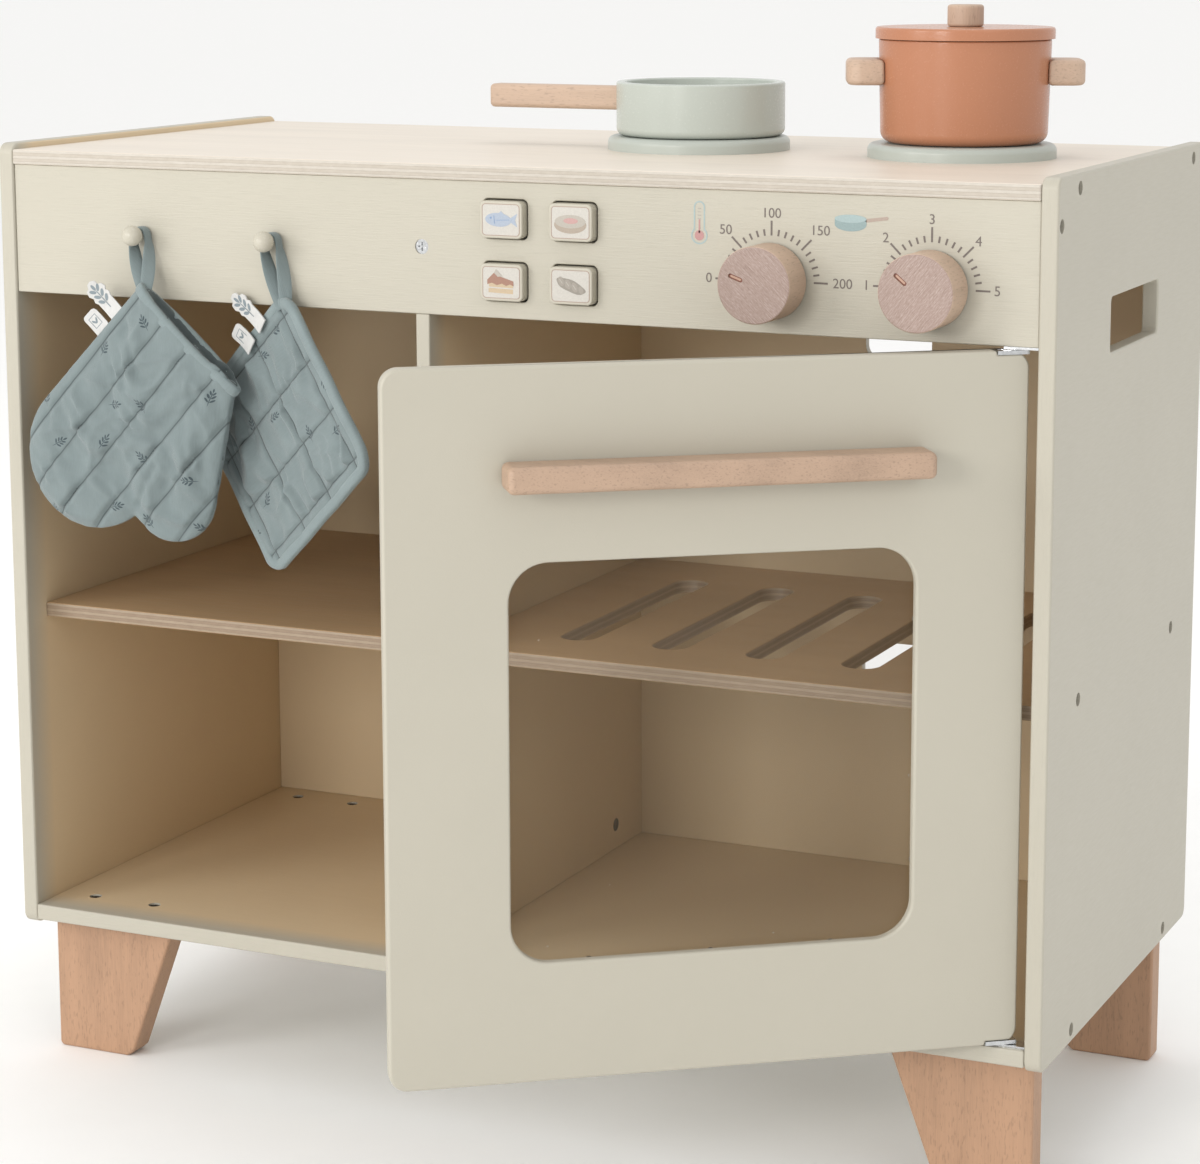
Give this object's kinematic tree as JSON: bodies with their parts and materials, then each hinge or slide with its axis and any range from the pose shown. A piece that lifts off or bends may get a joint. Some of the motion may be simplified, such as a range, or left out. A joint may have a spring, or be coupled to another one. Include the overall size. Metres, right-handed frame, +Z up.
{
  "type": "toy kitchen",
  "caption": "Plywood toy kitchen on board legs with an oven door, push buttons, knobs, hob rings, pans and hanging textiles.",
  "frame": {"origin": "on the floor, under the middle of the whole outline with the door standing open", "axes": "+X to the object's right seen from the front, +Y to the back, +Z up"},
  "size_m": [0.6, 0.4608, 0.5963],
  "materials": {
    "cream_paint": "satin paint over plywood",
    "birch_ply": "clear satin lacquer",
    "beech": "clear satin lacquer",
    "sage_paint": "matte paint over wood",
    "terracotta_paint": "matte paint over wood",
    "steel": "zinc plated",
    "dark_steel": "dark plated",
    "clear_plastic": "clear acrylic",
    "white_plastic": "satin",
    "button_print": "satin paint with a print",
    "print_fabric": "printed cotton, quilted"
  },
  "bodies": {
    "cabinet": {"left_side_panel": "cream_paint", "right_side_panel": "cream_paint", "worktop": "birch_ply", "control_panel": "cream_paint", "divider": "cream_paint", "bottom_panel": "cream_paint", "back_panel": "cream_paint", "left_shelf": "birch_ply", "oven_rack": "birch_ply", "leg_front_left": "beech", "leg_front_right": "beech", "leg_rear_left": "beech", "leg_rear_right": "beech", "side_screws": "dark_steel", "leg_screws": "dark_steel", "back_screws": "dark_steel", "shelf_dowels": "beech", "divider_bolts": "steel", "control_panel_screw": "steel", "hob_ring_left": "sage_paint", "hob_ring_right": "sage_paint", "hob_ring_screws": "steel", "hook_left": "cream_paint", "hook_right": "cream_paint", "hinge_plate_top": "steel", "hinge_plate_bottom": "steel", "hinge_plate_screws": "steel", "button_housing": "white_plastic", "button_housing_screws": "steel", "button_springs": "steel"},
    "door": {"door_panel": "cream_paint", "window_pane": "clear_plastic", "pane_screws": "steel", "door_handle": "beech", "door_handle_screws": "steel", "hinge_leaves": "steel", "hinge_leaf_screws": "steel"},
    "knob_temperature": {"temperature_knob": "beech", "temperature_knob_screw": "steel"},
    "knob_hob": {"hob_knob": "beech", "hob_knob_screw": "steel"},
    "key_fish": {"button_fish": "button_print"},
    "key_ham": {"button_ham": "button_print"},
    "key_cake": {"button_cake": "button_print"},
    "key_bread": {"button_bread": "button_print"},
    "pan": {"pan_body": "sage_paint", "pan_handle": "beech", "pan_handle_screw": "steel"},
    "pot": {"pot_body": "terracotta_paint", "pot_handles": "beech", "pot_handle_screws": "steel"},
    "lid": {"pot_lid": "terracotta_paint", "lid_knob": "beech", "lid_screw": "steel"},
    "mitt": {"oven_mitt": "print_fabric", "mitt_loop": "print_fabric"},
    "holder": {"pot_holder": "print_fabric", "holder_loop": "print_fabric"}
  },
  "joints": [
    {"name": "door_hinge", "type": "hinge", "parent": "cabinet", "child": "door", "pos_m": [0.2785, -0.04407, 0.264], "axis": [0, 0, 1], "range_deg": [-36.6, 58.4]},
    {"name": "temperature_turn", "type": "hinge", "parent": "cabinet", "child": "knob_temperature", "pos_m": [0.154, -0.04807, 0.4647], "axis": [0, -1, 0], "continuous": true},
    {"name": "hob_turn", "type": "hinge", "parent": "cabinet", "child": "knob_hob", "pos_m": [0.2368, -0.04807, 0.4647], "axis": [0, -1, 0], "continuous": true},
    {"name": "fish_press", "type": "slide", "parent": "cabinet", "child": "key_fish", "axis": [0, 1, 0], "range_m": [0, 0.003], "stiffness_N_per_m": 150, "springref_m": -0.004},
    {"name": "ham_press", "type": "slide", "parent": "cabinet", "child": "key_ham", "axis": [0, 1, 0], "range_m": [0, 0.003], "stiffness_N_per_m": 150, "springref_m": -0.004},
    {"name": "cake_press", "type": "slide", "parent": "cabinet", "child": "key_cake", "axis": [0, 1, 0], "range_m": [0, 0.003], "stiffness_N_per_m": 150, "springref_m": -0.004},
    {"name": "bread_press", "type": "slide", "parent": "cabinet", "child": "key_bread", "axis": [0, 1, 0], "range_m": [0, 0.003], "stiffness_N_per_m": 150, "springref_m": -0.004},
    {"name": "pan_lift", "type": "slide", "parent": "cabinet", "child": "pan", "axis": [0, 0, 1], "range_m": [0, 0.15]},
    {"name": "pot_lift", "type": "slide", "parent": "cabinet", "child": "pot", "axis": [0, 0, 1], "range_m": [0, 0.15]},
    {"name": "lid_lift", "type": "slide", "parent": "pot", "child": "lid", "axis": [0, 0, 1], "range_m": [0, 0.06]},
    {"name": "mitt_swing", "type": "hinge", "parent": "cabinet", "child": "mitt", "pos_m": [-0.208, -0.05157, 0.4737], "axis": [0, 1, 0], "range_deg": [-4, 8]},
    {"name": "holder_swing", "type": "hinge", "parent": "cabinet", "child": "holder", "pos_m": [-0.127, -0.05157, 0.4737], "axis": [0, 1, 0], "range_deg": [-6, 6]}
  ]
}
